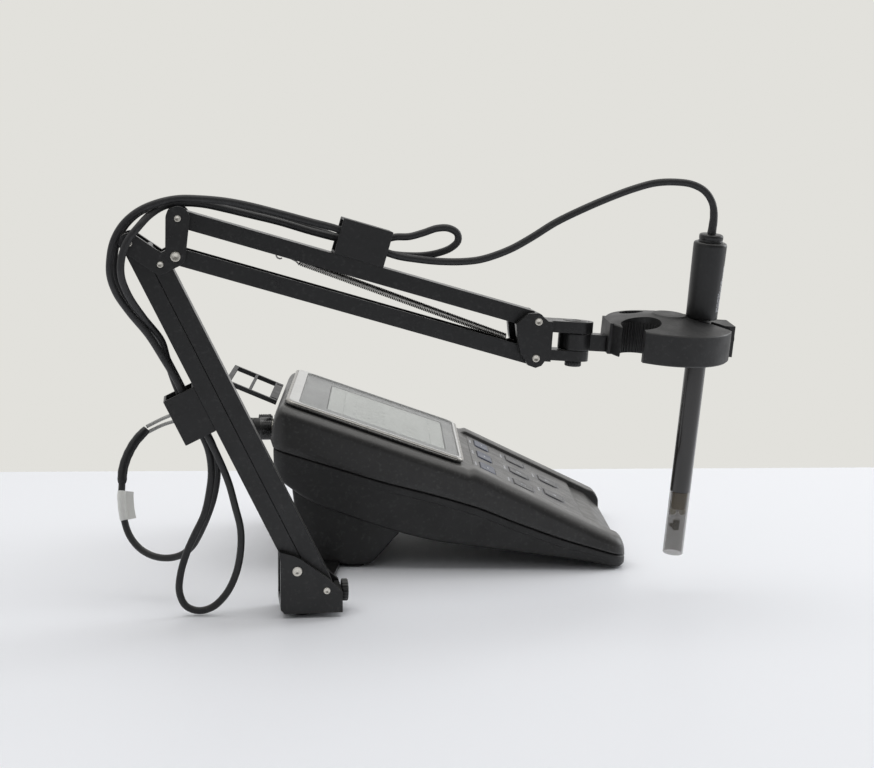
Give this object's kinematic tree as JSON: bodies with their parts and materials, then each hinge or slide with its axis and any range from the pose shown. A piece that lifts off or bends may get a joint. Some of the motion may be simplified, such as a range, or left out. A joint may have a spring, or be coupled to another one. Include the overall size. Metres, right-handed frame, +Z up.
{
  "type": "ph meter",
  "caption": "Benchtop pH meter with sloped display and keypad, side-mounted parallelogram swing arm, notched electrode holder and combination electrode on a looped cable.",
  "frame": {"origin": "middle of the footprint of the object without its free cable, on the bench surface", "axes": "+X from the meter's rear to its front edge, +Y from the arm side to the far side, +Z up"},
  "size_m": [0.3678, 0.3019, 0.2491],
  "materials": {
    "housing_top": "satin",
    "housing_base": "satin",
    "bezel_silver": "satin",
    "window_clear": "polished",
    "lcd_grey": "matte",
    "keypad_film": "satin",
    "soft_key_blue": "satin",
    "key_dark": "satin",
    "board_green": "satin",
    "battery_wrap": "gloss",
    "foot_rubber": "matte",
    "steel": "satin",
    "spring_steel": "satin",
    "connector_metal": "satin",
    "connector_black": "satin",
    "arm_black": "satin",
    "clip_black": "satin",
    "holder_black": "satin",
    "cap_black": "satin",
    "electrode_dark": "gloss",
    "guard_smoke": "polished",
    "sensor_glass": "polished",
    "cable_jacket": "matte",
    "sleeve_black": "matte",
    "tag_white": "matte",
    "lead_grey": "matte"
  },
  "bodies": {
    "meter": {"upper_housing": "housing_top", "lower_housing": "housing_base", "rear_panel": "housing_base", "display_bezel": "bezel_silver", "display_window": "window_clear", "lcd_module": "lcd_grey", "keypad_overlay": "keypad_film", "main_board": "board_green", "batteries": "battery_wrap", "battery_door": "housing_base", "rubber_feet": "foot_rubber", "housing_screws": "steel", "bnc_socket": "connector_metal", "din_socket": "connector_black", "power_socket": "connector_black", "arm_bracket": "arm_black", "bracket_screws": "steel", "swivel_bolt": "steel", "cable_tail": "cable_jacket", "cable_sleeve": "sleeve_black", "cable_tag": "tag_white", "cable_leads": "lead_grey", "bnc_plug": "connector_metal"},
    "guard": {"connector_guard": "clip_black"},
    "arm_base": {"base_block": "arm_black", "base_knob": "arm_black", "base_pins": "steel"},
    "rear_bar": {"lower_rear_bar": "arm_black", "post_clip": "clip_black", "cable_post": "cable_jacket"},
    "front_bar": {"lower_front_bar": "arm_black"},
    "elbow": {"elbow_plates": "arm_black", "elbow_spacers": "steel", "elbow_pins": "steel", "cable_elbow": "cable_jacket"},
    "top_bar": {"upper_top_bar": "arm_black", "upper_clip": "clip_black", "cable_upper": "cable_jacket"},
    "bottom_bar": {"upper_bottom_bar": "arm_black", "upper_spring": "spring_steel"},
    "head": {"head_bracket": "arm_black", "head_pins": "steel", "swivel_screw": "arm_black", "cable_front": "cable_jacket"},
    "holder": {"holder_link": "arm_black", "electrode_holder": "holder_black"},
    "electrode": {"electrode_cap": "cap_black", "electrode_collar": "cap_black", "electrode_body": "electrode_dark", "electrode_guard": "guard_smoke", "sensor_tip": "sensor_glass"},
    "soft_key_1": {"soft_key_1": "soft_key_blue"},
    "soft_key_2": {"soft_key_2": "soft_key_blue"},
    "soft_key_3": {"soft_key_3": "soft_key_blue"},
    "key_1": {"key_1": "key_dark"},
    "key_2": {"key_2": "key_dark"},
    "key_3": {"key_3": "key_dark"},
    "key_4": {"key_4": "key_dark"},
    "key_5": {"key_5": "key_dark"}
  },
  "joints": [
    {"name": "base_swivel", "type": "hinge", "parent": "meter", "child": "arm_base", "pos_m": [-0.07704, -0.12074, 0.005], "axis": [0, 0, 1], "range_deg": [-90, 8], "deforming": ["cable_tail"]},
    {"name": "lower_arm", "type": "hinge", "parent": "arm_base", "child": "rear_bar", "pos_m": [-0.08052, -0.12111, 0.0274], "axis": [-0.1045, 0.9945, 0], "range_deg": [0, 45], "deforming": ["cable_post"]},
    {"name": "front_bar_pivot", "type": "hinge", "parent": "arm_base", "child": "front_bar", "pos_m": [-0.06381, -0.11935, 0.0156], "axis": [-0.1045, 0.9945, 0], "range_deg": [0, 45]},
    {"name": "elbow_level", "type": "hinge", "parent": "rear_bar", "child": "elbow", "pos_m": [-0.17043, -0.13056, 0.215], "axis": [-0.1045, 0.9945, 0], "range_deg": [-45, 0], "deforming": ["cable_elbow"]},
    {"name": "upper_arm", "type": "hinge", "parent": "elbow", "child": "top_bar", "pos_m": [-0.14382, -0.12776, 0.2284], "axis": [-0.1045, 0.9945, 0], "range_deg": [-35, 8], "deforming": ["cable_upper", "upper_spring"]},
    {"name": "bottom_bar_pivot", "type": "hinge", "parent": "elbow", "child": "bottom_bar", "pos_m": [-0.14536, -0.12792, 0.2074], "axis": [-0.1045, 0.9945, 0], "range_deg": [-35, 8]},
    {"name": "head_level", "type": "hinge", "parent": "top_bar", "child": "head", "pos_m": [0.05757, -0.10659, 0.1685], "axis": [-0.1045, 0.9945, 0], "range_deg": [-8, 35], "deforming": ["cable_front"]},
    {"name": "head_swivel", "type": "hinge", "parent": "head", "child": "holder", "pos_m": [0.08186, -0.10404, 0.15568], "axis": [0.0728, 0.0077, 0.9973], "range_deg": [-80, 40]},
    {"name": "electrode_lift", "type": "slide", "parent": "holder", "child": "electrode", "axis": [0.0834, -0.0963, 0.9919], "range_m": [0, 0.06]},
    {"name": "guard_hinge", "type": "hinge", "parent": "meter", "child": "guard", "pos_m": [-0.09924, 0.05926, 0.1046], "axis": [0, 1, 0], "range_deg": [-30, 50]},
    {"name": "soft_key_1_press", "type": "slide", "parent": "meter", "child": "soft_key_1", "axis": [-0.438, 0, -0.899], "range_m": [0, 0.0008], "stiffness_N_per_m": 1500},
    {"name": "soft_key_2_press", "type": "slide", "parent": "meter", "child": "soft_key_2", "axis": [-0.438, 0, -0.899], "range_m": [0, 0.0008], "stiffness_N_per_m": 1500},
    {"name": "soft_key_3_press", "type": "slide", "parent": "meter", "child": "soft_key_3", "axis": [-0.438, 0, -0.899], "range_m": [0, 0.0008], "stiffness_N_per_m": 1500},
    {"name": "key_1_press", "type": "slide", "parent": "meter", "child": "key_1", "axis": [-0.438, 0, -0.899], "range_m": [0, 0.0008], "stiffness_N_per_m": 1500},
    {"name": "key_2_press", "type": "slide", "parent": "meter", "child": "key_2", "axis": [-0.438, 0, -0.899], "range_m": [0, 0.0008], "stiffness_N_per_m": 1500},
    {"name": "key_3_press", "type": "slide", "parent": "meter", "child": "key_3", "axis": [-0.438, 0, -0.899], "range_m": [0, 0.0008], "stiffness_N_per_m": 1500},
    {"name": "key_4_press", "type": "slide", "parent": "meter", "child": "key_4", "axis": [-0.438, 0, -0.899], "range_m": [0, 0.0008], "stiffness_N_per_m": 1500},
    {"name": "key_5_press", "type": "slide", "parent": "meter", "child": "key_5", "axis": [-0.438, 0, -0.899], "range_m": [0, 0.0008], "stiffness_N_per_m": 1500}
  ],
  "couplings": [
    {"joint": "front_bar_pivot", "follows": "lower_arm", "ratio": 1},
    {"joint": "elbow_level", "follows": "lower_arm", "ratio": -1},
    {"joint": "bottom_bar_pivot", "follows": "upper_arm", "ratio": 1},
    {"joint": "head_level", "follows": "upper_arm", "ratio": -1}
  ]
}
